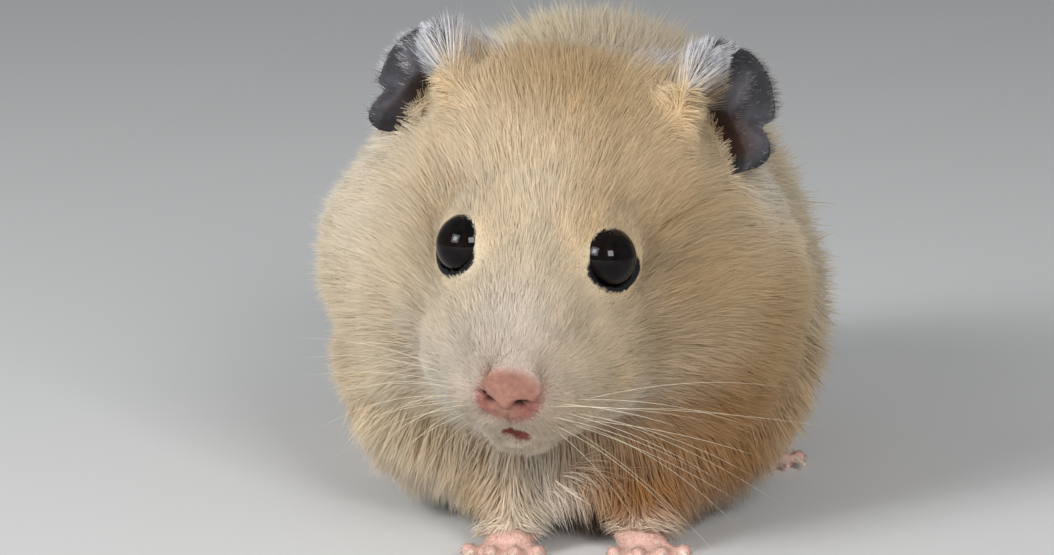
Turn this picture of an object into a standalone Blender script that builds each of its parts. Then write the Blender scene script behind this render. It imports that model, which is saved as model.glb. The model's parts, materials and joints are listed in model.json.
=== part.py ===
"""A life-size Syrian hamster, crouched on all fours, as a still model.

The outline runs out to the tips of the coat. The animal faces -Y, +Z is up, and its own left is +X.
The body is lofted and fused into one skin, then parted with thin cuts into the pieces that a person
would name. Lengths are in millimetres until MM turns them into metres.
"""

import math
from functools import partial

import bmesh
import bpy
from mathutils import Matrix, Vector

MM = 0.001
GAP = 0.3  # air between neighbouring pieces
WELD = 0.005  # corners closer than this are one

# How the head is carried: the point between the eyes, and the turns that take it from straight ahead
HEAD_PLACE = (-6.7, -45.0, 36.0)
HEAD_YAW = -11.0  # towards the animal's right
HEAD_PITCH = 30.0  # nose down
HEAD_ROLL = 4.5  # left side lower

# Sections of the head, from nose to nape: how far back from the eyes, half width, top, bottom,
# height of the widest line, and how much the upper half narrows
HEAD_SECTIONS = [
    (-15.8, 3.2, -3.4, -10.4, -7.2, 0.0),
    (-13.6, 5.7, -0.8, -15.4, -9.0, 0.1),
    (-10.0, 8.4, 1.5, -18.2, -10.5, 0.28),
    (-6.0, 11.8, 3.5, -20.8, -12.0, 0.46),
    (-2.0, 16.0, 5.3, -23.4, -13.5, 0.58),
    (2.0, 20.4, 7.0, -26.2, -15.0, 0.62),
    (6.0, 24.8, 8.9, -28.6, -16.2, 0.59),
    (10.0, 27.8, 10.7, -30.5, -16.2, 0.52),
    (15.0, 29.0, 12.0, -31.0, -15.5, 0.42),
    (21.0, 27.6, 12.4, -29.0, -13.5, 0.31),
    (27.0, 23.0, 10.8, -24.0, -9.5, 0.18),
    (32.0, 15.0, 6.0, -16.0, -6.0, 0.1),
]
HEAD_SQUARENESS = (0.80, 0.86)  # of the upper and the lower half of a section: 1 is round

# Sections of the body, from chest to rump: how far back from the middle of the body, half width,
# top, bottom, height of the widest line, and how much the upper half narrows
BODY_SECTIONS = [
    (-36.0, 15.0, 36.0, 10.0, 20.0, 0.0),
    (-31.0, 22.5, 44.0, 6.0, 19.0, 0.0),
    (-22.0, 27.4, 52.0, 3.6, 18.0, 0.0),
    (-10.0, 28.6, 54.2, 2.8, 18.0, 0.04),
    (4.0, 29.2, 55.2, 2.6, 18.0, 0.08),
    (18.0, 29.6, 56.0, 2.6, 18.0, 0.10),
    (31.0, 29.4, 54.2, 2.8, 18.0, 0.10),
    (41.0, 27.2, 49.6, 3.6, 18.5, 0.08),
    (49.0, 22.6, 42.8, 6.4, 19.5, 0.05),
    (54.6, 16.0, 35.0, 10.0, 20.0, 0.0),
    (58.2, 8.0, 27.0, 15.0, 20.5, 0.0),
]
BODY_SQUARENESS = (0.97, 0.86)
SWAY = -2.0  # the chest is carried this far to the animal's right, under the head
SWAY_FROM = 12.0  # the spine is straight behind here
SWAY_TO = -24.0

EYE_RADIUS = 3.4
EYE_CENTRE = (7.6, 0.4, -0.4)  # in the head's frame: across, back, up
NOSE_CENTRE = (0.0, -15.2, -6.2)
NOSE_SIZE = (3.5, 2.8, 3.0)

EAR_CENTRES = {"left": (18.2, 18.8, 6.2), "right": (-16.2, 17.6, 6.2)}
EAR_FACING = (0.62, -0.60, 0.50)
EAR_RISING = (0.36, 0.50, 0.85)
EAR_WIDE = 12.6
EAR_TALL = 15.6
EAR_CUP = 2.7  # how deep the shell is
EAR_THICK = 1.0

ELBOWS = {"left": (13.5, -20.0, 11.0), "right": (-15.0, -19.0, 11.0)}
WRISTS = {"left": (5.6, -35.5, 5.0), "right": (-9.6, -35.0, 5.0)}
FOREPAW_PLACES = {"left": (5.2, -36.5, 6.0), "right": (-9.4, -36.0, -8.0)}  # x, y, turn out
HINDFOOT_PLACES = {"left": (20.5, 14.0, 10.0), "right": (-20.5, 13.0, -10.0)}
TAIL_ROOT = (0.0, 54.0, 14.0)
TAIL_TIP = (0.0, 63.0, 11.0)

FOREPAW_TOES = (-26.0, -8.0, 9.0, 27.0)  # how each is fanned, in degrees
HINDFOOT_TOES = (-24.0, -11.0, 0.0, 11.0, 25.0)
TOE_RADIUS = 0.95
CLAW_LENGTH = 1.9
CLAW_ROOT = 0.45
CLAW_POINT = 0.3

BODY_VOXEL = 1.0
BODY_FILLET = 3.5
BODY_TRIANGLES = 1800
PAW_VOXEL = 0.35
PAW_FILLET = 0.35
PAW_TRIANGLES = 190
FAR = 200.0  # a cutter reaches past everything

COAT_CREAM = (0.72, 0.52, 0.27)
COAT_WHITE = (0.80, 0.72, 0.58)
EAR_GREY = (0.06, 0.05, 0.055)
NOSE_PINK = (0.62, 0.30, 0.26)
FOOT_PINK = (0.70, 0.45, 0.38)
EYE_BLACK = (0.008, 0.007, 0.009)
CLAW_HORN = (0.70, 0.60, 0.50)

for leftover in list(bpy.data.objects):
    bpy.data.objects.remove(leftover)


def collection(name):
    made = bpy.data.collections.new(name)
    bpy.context.scene.collection.children.link(made)
    return made


HAMSTER = collection("syrian_hamster")
CUTTERS = collection("forms_and_cutters")
CUTTERS.hide_render = True
SIDES = {"left": 1.0, "right": -1.0}
BODY_FRAME = Matrix.Identity(4)
HEAD_FRAME = (
    Matrix.Translation(Vector(HEAD_PLACE) * MM)
    @ Matrix.Rotation(math.radians(HEAD_YAW), 4, "Z")
    @ Matrix.Rotation(math.radians(HEAD_PITCH), 4, "X")
    @ Matrix.Rotation(math.radians(HEAD_ROLL), 4, "Y")
)


def painted(name, colour, roughness):
    made = bpy.data.materials.new(name)
    made.use_nodes = True
    shader = made.node_tree.nodes["Principled BSDF"]
    shader.inputs["Base Color"].default_value = (*colour, 1.0)
    shader.inputs["Roughness"].default_value = roughness
    shader.inputs["Metallic"].default_value = 0.0
    return made


def new_object(name, mesh):
    made = bpy.data.objects.new(name, mesh)
    CUTTERS.objects.link(made)
    made.hide_render = True
    made.display_type = "WIRE"
    return made


def from_bmesh(name, shape, frame=BODY_FRAME):
    shape.normal_update()
    bmesh.ops.recalc_face_normals(shape, faces=shape.faces)
    mesh = bpy.data.meshes.new(name)
    shape.to_mesh(mesh)
    shape.free()
    mesh.transform(frame)
    return new_object(name, mesh)


def ball(name, centre, radii, frame=BODY_FRAME, segments=14, grow=0.0):
    """An ellipsoid of the given half-sizes."""
    shape = bmesh.new()
    bmesh.ops.create_uvsphere(shape, u_segments=segments, v_segments=segments // 2, radius=1.0)
    for vert in shape.verts:
        vert.co = Vector([(c + v * (r + grow)) * MM for c, v, r in zip(centre, vert.co, radii)])
    return from_bmesh(name, shape, frame)


def block(name, low, high, frame=BODY_FRAME, grow=0.0):
    """A box between two corners."""
    shape = bmesh.new()
    bmesh.ops.create_cube(shape, size=1.0)
    for vert in shape.verts:
        corner = [b + grow if v > 0 else a - grow for v, a, b in zip(vert.co, low, high)]
        vert.co = Vector(corner) * MM
    return from_bmesh(name, shape, frame)


def limb(name, start, end, start_radius, end_radius, frame=BODY_FRAME, sides=10, grow=0.0):
    """A ball whose two halves are drawn apart into a tapered rod with round ends."""
    start, end = Vector(start), Vector(end)
    turned = (end - start).to_track_quat("Z", "Y")
    shape = bmesh.new()
    bmesh.ops.create_uvsphere(shape, u_segments=sides, v_segments=6, radius=1.0)
    for vert in shape.verts:
        ahead = vert.co.z > 0.01
        radius = (end_radius if ahead else start_radius) + grow
        vert.co = ((end if ahead else start) + turned @ vert.co * radius) * MM
    return from_bmesh(name, shape, frame)


def sway(back):
    """How far the spine lies to the side, this far back."""
    along = min(1.0, max(0.0, (SWAY_FROM - back) / (SWAY_FROM - SWAY_TO)))
    return SWAY * along * along * (3.0 - 2.0 * along)


def straight(back):
    return 0.0


def loft(name, sections, frame, spine, squareness, sides=40):
    """A pear-shaped tube through the sections, closed at both ends."""
    shape = bmesh.new()
    loops = []
    for back, half_width, top, bottom, widest, narrowing in sections:
        loop = []
        for side in range(sides):
            turn = 2 * math.pi * side / sides
            across, rise = math.cos(turn), math.sin(turn)
            upper, lower = squareness
            if rise >= 0:
                across = math.copysign(abs(across) ** upper, across) * (1.0 - narrowing * rise)
                height = widest + (top - widest) * rise**upper
            else:
                across = math.copysign(abs(across) ** lower, across)
                height = widest - (widest - bottom) * abs(rise) ** lower
            point = Vector((spine(back) + half_width * across, back, height))
            loop.append(shape.verts.new(point * MM))
        loops.append(loop)
    for one, two in zip(loops, loops[1:]):
        for side in range(sides):
            after = (side + 1) % sides
            shape.faces.new((one[side], one[after], two[after], two[side]))
    for loop in (loops[0], loops[-1]):
        shape.faces.new(loop)
    return from_bmesh(name, shape, frame)


def modified(obj, kind, **settings):
    modifier = obj.modifiers.new(kind.title(), kind)
    for key, value in settings.items():
        setattr(modifier, key, value)
    return obj


def settled(obj, name):
    """A new object that holds the mesh as the modifiers leave it; the old one goes."""
    bpy.context.view_layer.update()
    graph = bpy.context.evaluated_depsgraph_get()
    mesh = bpy.data.meshes.new_from_object(obj.evaluated_get(graph))
    bpy.data.objects.remove(obj)
    return new_object(name, mesh)


def duplicate(obj, name):
    return new_object(name, obj.data.copy())


def grown(obj, by):
    """A copy that is larger all round."""
    copy = duplicate(obj, obj.name + "_grown")
    return settled(modified(copy, "DISPLACE", strength=by * MM, mid_level=0.0), obj.name + "_grown")


def welded(obj):
    """Merges the corners that a cut leaves on top of one another."""
    shape = bmesh.new()
    shape.from_mesh(obj.data)
    bmesh.ops.remove_doubles(shape, verts=shape.verts, dist=WELD * MM)
    bmesh.ops.dissolve_degenerate(shape, edges=shape.edges, dist=WELD * MM)
    bmesh.ops.triangulate(shape, faces=[f for f in shape.faces if len(f.verts) > 4])
    shape.to_mesh(obj.data)
    shape.free()
    return obj


def cut(obj, operation, tool):
    """The exact boolean of an object with a tool. The tool is used up."""
    modified(obj, "BOOLEAN", operation=operation, solver="EXACT", object=tool)
    made = settled(obj, obj.name)
    bpy.data.objects.remove(tool)
    return welded(made)


def fused(name, forms, voxel, fillet, smoothing, triangles):
    """One skin round all the forms, with the creases between them filled."""
    shape = bmesh.new()
    for form in forms:
        shape.from_mesh(form.data)
        bpy.data.objects.remove(form)
    mesh = bpy.data.meshes.new(name)
    shape.to_mesh(mesh)
    shape.free()
    skin = new_object(name, mesh)
    modified(skin, "DISPLACE", strength=fillet * MM, mid_level=0.0)
    modified(skin, "REMESH", mode="VOXEL", voxel_size=voxel * MM)
    skin = settled(skin, name)
    modified(skin, "DISPLACE", strength=-fillet * MM, mid_level=0.0)
    modified(skin, "REMESH", mode="VOXEL", voxel_size=voxel * MM)
    modified(skin, "SMOOTH", factor=0.5, iterations=smoothing)
    skin = settled(skin, name)
    count = sum(len(face.vertices) - 2 for face in skin.data.polygons)
    modified(skin, "DECIMATE", ratio=min(1.0, triangles / count))
    return settled(skin, name)


def largest_body(obj):
    """Drops the crumbs that a cut may leave beside the main body."""
    shape = bmesh.new()
    shape.from_mesh(obj.data)
    bodies, seen = [], set()
    for start in shape.verts:
        if start in seen:
            continue
        body, front = {start}, [start]
        while front:
            for edge in front.pop().link_edges:
                for vert in edge.verts:
                    if vert not in body:
                        body.add(vert)
                        front.append(vert)
        seen |= body
        bodies.append(body)
    keep = max(bodies, key=len)
    bmesh.ops.delete(shape, geom=[v for v in shape.verts if v not in keep], context="VERTS")
    shape.to_mesh(obj.data)
    shape.free()


SHARP_FROM = math.radians(40.0)  # cut edges stay crisp, the rest of each piece is shaded round


def finished(obj, name, look):
    """A piece of the hamster, in its own material."""
    largest_body(obj)
    obj.name = name
    obj.data.name = name
    obj.data.materials.clear()
    obj.data.materials.append(look)
    obj.data.shade_smooth()
    obj.data.set_sharp_from_angle(angle=SHARP_FROM)
    CUTTERS.objects.unlink(obj)
    HAMSTER.objects.link(obj)
    obj.hide_render = False
    obj.display_type = "TEXTURED"
    return obj


COAT = painted("cream_coat", COAT_CREAM, 0.8)
WHITE = painted("white_coat", COAT_WHITE, 0.8)
EAR_SKIN = painted("ear_skin", EAR_GREY, 0.6)
NOSE_SKIN = painted("nose_skin", NOSE_PINK, 0.45)
FOOT_SKIN = painted("foot_skin", FOOT_PINK, 0.55)
EYE_GLOSS = painted("eye", EYE_BLACK, 0.05)
CLAW_GLOSS = painted("claw", CLAW_HORN, 0.35)

# The whole body as one skin
forms = [
    loft("head_form", HEAD_SECTIONS, HEAD_FRAME, straight, HEAD_SQUARENESS),
    loft("body_form", BODY_SECTIONS, BODY_FRAME, sway, BODY_SQUARENESS),
    ball("chin_form", (0, -6.5, -16.6), (5.6, 6.6, 4.0), HEAD_FRAME),
]
for name, side in SIDES.items():
    forms += [
        ball("whisker_pad", (side * 4.4, -10.2, -10.8), (4.6, 4.8, 4.6), HEAD_FRAME),
        ball("haunch", (side * 17.4, 27.0, 17.5), (13.0, 23.0, 15.0)),
        ball("shoulder", (SWAY + side * 15.6, -16.0, 18.5), (13.0, 16.0, 16.0)),
        limb("forearm", ELBOWS[name], WRISTS[name], 7.0, 4.2),
    ]
body = fused("body_skin", forms, BODY_VOXEL, BODY_FILLET, 10, BODY_TRIANGLES)


# Ears: a cupped shell with a nick in its outer rim, standing on the back of the head
def ear_shell(name):
    mirror = SIDES[name]
    shape = bmesh.new()
    bmesh.ops.create_grid(shape, x_segments=7, y_segments=7, size=1.0)
    for vert in shape.verts:
        u, v = vert.co.x, vert.co.y
        across = u * math.sqrt(1.0 - v * v / 2)
        rise = v * math.sqrt(1.0 - u * u / 2)
        reach = math.hypot(across, rise)
        nick = math.exp(-((math.atan2(rise, across) + 0.1) / 0.2) ** 2) * reach**4
        vert.co.x = mirror * EAR_WIDE / 2 * across * (1.0 - 0.12 * nick)
        vert.co.y = EAR_TALL / 2 * rise
        vert.co.z = EAR_CUP * (reach**2 - 1.0) + 0.9 * nick - 0.9 * reach**2 * max(rise, 0.0)
        vert.co *= MM
    facing = Vector((mirror * EAR_FACING[0], *EAR_FACING[1:])).normalized()
    rising = Vector((mirror * EAR_RISING[0], *EAR_RISING[1:]))
    rising = (rising - facing * rising.dot(facing)).normalized()
    across = rising.cross(facing)
    turned = Matrix((across, rising, facing)).transposed().to_4x4()
    place = Matrix.Translation(Vector(EAR_CENTRES[name]) * MM) @ turned
    shell = from_bmesh("ear_shell", shape, HEAD_FRAME @ place)
    modified(shell, "SOLIDIFY", thickness=EAR_THICK * MM, offset=0.0)
    return settled(shell, "ear_shell")


for name in SIDES:
    ear = cut(ear_shell(name), "DIFFERENCE", grown(body, GAP))
    finished(ear, "ear_" + name, EAR_SKIN)

# Eyes: whole balls, each in a pocket
for name, side in SIDES.items():
    centre = (side * EYE_CENTRE[0], *EYE_CENTRE[1:])
    eye = ball("eye_" + name, centre, [EYE_RADIUS] * 3, HEAD_FRAME, segments=16)
    finished(eye, "eye_" + name, EYE_GLOSS)
    pocket = ball("pocket", centre, [EYE_RADIUS + GAP + 0.05] * 3, HEAD_FRAME)
    body = cut(body, "DIFFERENCE", pocket)


# Feet: a flat sole, toes fanned from it, and a claw in front of each toe
def foot(name, kind, place, soles, fans, knuckle, length, height):
    x, y, turned_out = place
    stance = Matrix.Translation(Vector((x, y, 0)) * MM) @ Matrix.Rotation(
        math.radians(turned_out), 4, "Z"
    )
    parts = [ball("pad", centre, radii, stance) for centre, radii in soles]
    for number, fan in enumerate(fans, 1):
        angle = math.radians(fan)
        heading = Vector((math.sin(angle), -math.cos(angle), 0.0))
        start = Vector(knuckle) + Vector((math.sin(angle) * 3.4, 0.0, 0.0))
        end = start + heading * length * (1.0 - 0.25 * abs(math.sin(angle)))
        end.z = TOE_RADIUS - 0.2
        parts.append(limb("toe", start, end, TOE_RADIUS + 0.1, TOE_RADIUS, stance))
        root = end + heading * (TOE_RADIUS + GAP + CLAW_ROOT) + Vector((0, 0, 0.55))
        point = root + heading * CLAW_LENGTH * 0.75 - Vector((0, 0, 0.35))
        claw = limb("claw", root, point, CLAW_ROOT, CLAW_POINT, stance, sides=6)
        finished(claw, f"claw_{kind}_{name}_{number}", CLAW_GLOSS)
    paw = fused("paw", parts, PAW_VOXEL, PAW_FILLET, 2, PAW_TRIANGLES)
    return cut(paw, "INTERSECT", block("above_floor", (-FAR, -FAR, 0.0), (FAR, FAR, height)))


for name in SIDES:
    forepaw = foot(
        name,
        "fore",
        FOREPAW_PLACES[name],
        soles=[((0, 0.6, 2.0), (2.9, 3.6, 2.3)), ((0, 1.6, 4.0), (2.4, 2.6, 3.2))],
        fans=FOREPAW_TOES,
        knuckle=(0.0, -1.6, 1.1),
        length=3.6,
        height=6.5,
    )
    body = cut(body, "DIFFERENCE", grown(forepaw, GAP * 1.2))
    finished(forepaw, "forepaw_" + name, FOOT_SKIN)
    hindfoot = foot(
        name,
        "hind",
        HINDFOOT_PLACES[name],
        soles=[
            ((0, 7.5, 1.9), (2.5, 4.6, 2.2)),
            ((0, 2.0, 1.8), (2.4, 6.0, 2.0)),
            ((0, -2.6, 1.6), (3.3, 3.4, 1.9)),
        ],
        fans=HINDFOOT_TOES,
        knuckle=(0.0, -4.4, 1.1),
        length=3.6,
        height=5.0,
    )
    body = cut(body, "DIFFERENCE", grown(hindfoot, GAP * 1.2))
    finished(hindfoot, "hindfoot_" + name, FOOT_SKIN)

# Tail: a short stub
tail = limb("tail", TAIL_ROOT, TAIL_TIP, 2.3, 1.3)
tail = cut(tail, "DIFFERENCE", grown(body, GAP))
finished(tail, "tail", COAT)

# The rest is parted in turn: each zone takes its piece, and a gap is left round it
ZONES = [
    ("nose", NOSE_SKIN, partial(ball, "zone", NOSE_CENTRE, NOSE_SIZE, HEAD_FRAME)),
    ("lower_jaw", WHITE, partial(ball, "zone", (0.0, -7.0, -20.0), (8.4, 9.6, 4.6), HEAD_FRAME)),
    ("cheek_left", COAT, partial(ball, "zone", (18.0, 9.0, -14.0), (13.0, 13.5, 14.0), HEAD_FRAME)),
    ("cheek_right", COAT, partial(ball, "zone", (-18.0, 9.0, -14.0), (13.0, 13.5, 14.0), HEAD_FRAME)),
    ("muzzle", WHITE, partial(block, "zone", (-FAR, -FAR, -24.0), (FAR, -4.2, FAR), HEAD_FRAME)),
    ("head", COAT, partial(block, "zone", (-FAR, -FAR, -24.0), (FAR, 25.0, FAR), HEAD_FRAME)),
    ("neck", COAT, partial(block, "zone", (-FAR, -FAR, 28.0), (FAR, -6.0, FAR))),
    ("foreleg_left", COAT, partial(limb, "zone", (16.5, -14.0, 13.5), (6.4, -36.0, 4.5), 13.6, 6.2)),
    ("foreleg_right", COAT, partial(limb, "zone", (-20.5, -14.0, 13.5), (-10.4, -35.5, 4.5), 13.6, 6.2)),
    ("chest", COAT, partial(block, "zone", (-FAR, -FAR, -FAR), (FAR, -6.2, FAR))),
    ("hindleg_left", COAT, partial(ball, "zone", (21.0, 25.0, 14.0), (14.0, 22.0, 16.0))),
    ("hindleg_right", COAT, partial(ball, "zone", (-21.0, 25.0, 14.0), (14.0, 22.0, 16.0))),
    ("rump", COAT, partial(block, "zone", (-FAR, 30.0, -FAR), (FAR, FAR, FAR))),
]
for name, look, zone in ZONES:
    piece = cut(duplicate(body, name), "INTERSECT", zone())
    finished(piece, name, look)
    body = cut(body, "DIFFERENCE", zone(grow=GAP))
finished(body, "trunk", COAT)

# The origin is on the floor, under the middle of the whole animal
corners = [vert.co for piece in HAMSTER.objects for vert in piece.data.vertices]
low = Vector([min(corner[axis] for corner in corners) for axis in range(3)])
high = Vector([max(corner[axis] for corner in corners) for axis in range(3)])
to_origin = Matrix.Translation(-Vector(((low.x + high.x) / 2, (low.y + high.y) / 2, low.z)))
for piece in HAMSTER.objects:
    piece.data.transform(to_origin)
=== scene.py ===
"""A Syrian hamster at life size, crouched on all fours: its skin, eyes, coat, whiskers and claws."""

import json
import math

import bpy
import numpy as np
from mathutils import Matrix, Vector
from mathutils.bvhtree import BVHTree
from mathutils.kdtree import KDTree

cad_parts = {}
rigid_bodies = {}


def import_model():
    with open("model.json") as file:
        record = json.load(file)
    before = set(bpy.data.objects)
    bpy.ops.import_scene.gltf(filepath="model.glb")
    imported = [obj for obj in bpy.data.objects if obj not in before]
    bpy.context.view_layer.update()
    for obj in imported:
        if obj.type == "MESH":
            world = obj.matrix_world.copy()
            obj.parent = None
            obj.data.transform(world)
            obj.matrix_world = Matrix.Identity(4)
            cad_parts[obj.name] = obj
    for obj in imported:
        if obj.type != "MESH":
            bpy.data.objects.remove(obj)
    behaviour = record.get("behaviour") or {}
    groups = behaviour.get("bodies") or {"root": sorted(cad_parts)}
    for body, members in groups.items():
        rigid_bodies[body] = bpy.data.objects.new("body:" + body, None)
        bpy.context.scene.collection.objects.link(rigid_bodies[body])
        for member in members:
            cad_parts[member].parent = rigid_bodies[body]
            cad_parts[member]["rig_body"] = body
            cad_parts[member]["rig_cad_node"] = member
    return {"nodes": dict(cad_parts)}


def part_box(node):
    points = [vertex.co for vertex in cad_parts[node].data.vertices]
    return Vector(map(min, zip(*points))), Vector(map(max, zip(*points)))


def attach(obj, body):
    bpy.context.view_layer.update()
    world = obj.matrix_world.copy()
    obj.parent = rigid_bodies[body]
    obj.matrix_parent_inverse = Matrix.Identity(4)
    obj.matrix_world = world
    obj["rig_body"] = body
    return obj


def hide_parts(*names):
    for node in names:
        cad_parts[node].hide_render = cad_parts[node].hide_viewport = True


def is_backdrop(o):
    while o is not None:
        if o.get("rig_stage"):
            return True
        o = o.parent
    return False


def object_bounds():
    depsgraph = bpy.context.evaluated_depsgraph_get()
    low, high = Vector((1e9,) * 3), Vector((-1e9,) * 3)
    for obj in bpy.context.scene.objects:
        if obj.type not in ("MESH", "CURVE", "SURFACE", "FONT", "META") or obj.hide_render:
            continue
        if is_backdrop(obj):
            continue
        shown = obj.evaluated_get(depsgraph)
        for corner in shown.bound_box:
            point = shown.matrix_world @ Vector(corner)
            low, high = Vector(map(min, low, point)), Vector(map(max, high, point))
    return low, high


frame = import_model()
cad_low, cad_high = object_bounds()

# --- Where the head is --------------------------
# The head is turned to the animal's right, bowed and rolled a little. Its own frame has +X to the
# animal's left, +Y to the back and +Z up, and starts between the eyes, which come from the frame.
MM = 0.001
HEAD_TURN, HEAD_BOW, HEAD_ROLL = math.radians(-11.0), math.radians(30.0), math.radians(4.5)
EYE_RADIUS = 0.0034
EYE_OPENING = math.radians(65.5)  # from the gaze to the lid's edge
EYE_BACK, EYE_DROP = 0.4 * MM, -0.4 * MM  # where the middle of the two eyes lies in the head's frame


def middle(name):
    """The middle of one of the frame's pieces."""
    low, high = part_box(name)
    return (low + high) / 2


head_axes = Matrix.Rotation(HEAD_TURN, 3, "Z") @ Matrix.Rotation(HEAD_BOW, 3, "X")
head_axes = head_axes @ Matrix.Rotation(HEAD_ROLL, 3, "Y")
head_centre = (middle("eye_left") + middle("eye_right")) / 2 - head_axes @ Vector((0, EYE_BACK, EYE_DROP))
HEAD_AXES = np.array(head_axes)
HEAD_CENTRE = np.array(head_centre)


def in_head(points):
    """Points in the head's own frame, in millimetres."""
    return (points - HEAD_CENTRE) @ HEAD_AXES / MM


def from_head(x, y, z):
    """A point of the head's own frame, given in millimetres."""
    return head_centre + head_axes @ (Vector((x, y, z)) * MM)


# --- Camera, floor and lamps --------------------
# A long lens a little above the animal's eye level, and a plain pale floor. A large soft lamp with a
# smaller one at its middle lights from the upper left front, and a soft one fills from the right front.
CAMERA_AWAY = 0.430
CAMERA_DOWN = math.radians(10.0)
LENS = 135.1
AIM_SIDEWAYS, AIM_BELOW = 0.92, 2.99  # millimetres from the head's middle to the view's
FLOOR_GREY = (0.70, 0.69, 0.67, 1.0)
KEY_WHITE, FILL_WHITE, SKY_WHITE = (0.945, 0.975, 1.0), (0.96, 0.975, 1.0), (0.92, 0.95, 1.0, 1.0)
SKY_STRENGTH = 0.27

camera_data = bpy.data.cameras.new("camera")
camera_data.lens = LENS
camera_data.clip_start = 0.01
camera = bpy.data.objects.new("camera", camera_data)
bpy.context.scene.collection.objects.link(camera)
looking = Vector((0, math.cos(CAMERA_DOWN), -math.sin(CAMERA_DOWN)))
upward = Vector((0, math.sin(CAMERA_DOWN), math.cos(CAMERA_DOWN)))
aim = head_centre - Vector((AIM_SIDEWAYS * MM, 0, 0)) - upward * AIM_BELOW * MM
camera.location = aim - looking * CAMERA_AWAY
camera.rotation_euler = looking.to_track_quat("-Z", "Y").to_euler()
bpy.context.scene.camera = camera
bpy.context.scene.view_settings.view_transform = "Standard"


def settle(node, settings):
    """Makes the settings of a shader node, and gives it back."""
    for socket, value in settings.items():
        node.inputs[socket].default_value = value
    return node


def new_material(name, settings):
    """A material with its shader's settings made: the material, its nodes, its links and the shader."""
    made = bpy.data.materials.new(name)
    made.use_nodes = True
    shader = settle(made.node_tree.nodes["Principled BSDF"], settings)
    return made, made.node_tree.nodes, made.node_tree.links, shader


bpy.ops.object.select_all(action="DESELECT")
bpy.ops.mesh.primitive_plane_add(size=6.0)
floor = bpy.context.object
floor.name = "floor"
floor.data.materials.append(new_material("pale floor", {"Base Color": FLOOR_GREY, "Roughness": 0.9})[0])
floor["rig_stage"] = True


def lamp(name, place, aimed_at, size, watts, colour):
    """A square soft lamp."""
    data = bpy.data.lights.new(name, "AREA")
    data.size = size
    data.energy = watts
    data.color = colour
    made = bpy.data.objects.new(name, data)
    made.location = place
    made.rotation_euler = (aimed_at - made.location).to_track_quat("-Z", "Y").to_euler()
    bpy.context.scene.collection.objects.link(made)


middle_of_body = (cad_low + cad_high) / 2
lamp("key", Vector((-0.55, -0.55, 0.42)), middle_of_body, 0.42, 3.8, KEY_WHITE)
lamp("key_core", Vector((-0.545, -0.545, 0.416)), middle_of_body, 0.20, 2.5, KEY_WHITE)
lamp("fill", Vector((0.24, -0.80, 0.40)), middle_of_body, 0.30, 4.8, FILL_WHITE)
world = bpy.data.worlds.new("studio")
world.use_nodes = True
settle(world.node_tree.nodes["Background"], {"Color": SKY_WHITE, "Strength": SKY_STRENGTH})
bpy.context.scene.world = world

# --- Eyes ---------------------------------------
# Large, round, wet and almost black balls, a little fuller over the cornea, with a barely browner iris.
# They stand out of the head between dark lids, and look forwards, outwards and a little up.
EYE_OUT, EYE_UP = math.radians(43.5), math.radians(12.0)
LIDS_OUT = math.radians(47.5)  # the lids open a little further out than the eye looks
CORNEA = 0.030  # how much fuller the front of the ball is
EYE_SIDES = {"left": 1.0, "right": -1.0}


def gaze(side, out=EYE_OUT):
    """Where the eye looks, in the row frame."""
    flat = math.cos(EYE_UP)
    local = Vector((side * math.sin(out) * flat, -math.cos(out) * flat, math.sin(EYE_UP)))
    return (head_axes @ local).normalized()


def grained_material(name, settings, grain, stops, detail=2.0):
    """A material that drifts between two colours over a fine grain. The stops give their places on it."""
    made, nodes, links, shader = new_material(name, settings)
    place = nodes.new("ShaderNodeTexCoord")
    noise = settle(nodes.new("ShaderNodeTexNoise"), {"Scale": grain, "Detail": detail})
    drift = nodes.new("ShaderNodeValToRGB")
    for number, (position, colour) in enumerate(stops):
        stop = drift.color_ramp.elements[number]
        stop.position, stop.color = position, (*colour, 1.0)
    links.new(place.outputs["Object"], noise.inputs["Vector"])
    links.new(noise.outputs["Fac"], drift.inputs["Fac"])
    links.new(drift.outputs["Color"], shader.inputs["Base Color"])
    return made


wet_black = grained_material(
    "wet black eye", {"Roughness": 0.03, "Specular IOR Level": 0.18}, 900.0,
    ((0.35, (0.0015, 0.0013, 0.0018)), (0.75, (0.008, 0.0045, 0.003))))


def round_ball(segments, rings, radius, place):
    """A round ball at its place, and the only thing selected."""
    bpy.ops.object.select_all(action="DESELECT")
    bpy.ops.mesh.primitive_uv_sphere_add(segments=segments, ring_count=rings, radius=radius, location=place)
    return bpy.context.object


for side_name, side in EYE_SIDES.items():
    node = f"eye_{side_name}"
    centre, forward = middle(node), gaze(side)
    ball = round_ball(64, 40, EYE_RADIUS, centre)
    ball.name = f"eyeball_{side_name}"
    bpy.ops.object.transform_apply(location=True, rotation=True, scale=True)
    for point in ball.data.vertices:
        spoke = point.co - centre
        point.co += spoke * CORNEA * max(0.0, spoke.normalized().dot(forward)) ** 3
    bpy.ops.object.shade_smooth()
    ball.data.materials.append(wet_black)
    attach(ball, "root")
    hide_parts(node)

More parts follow.
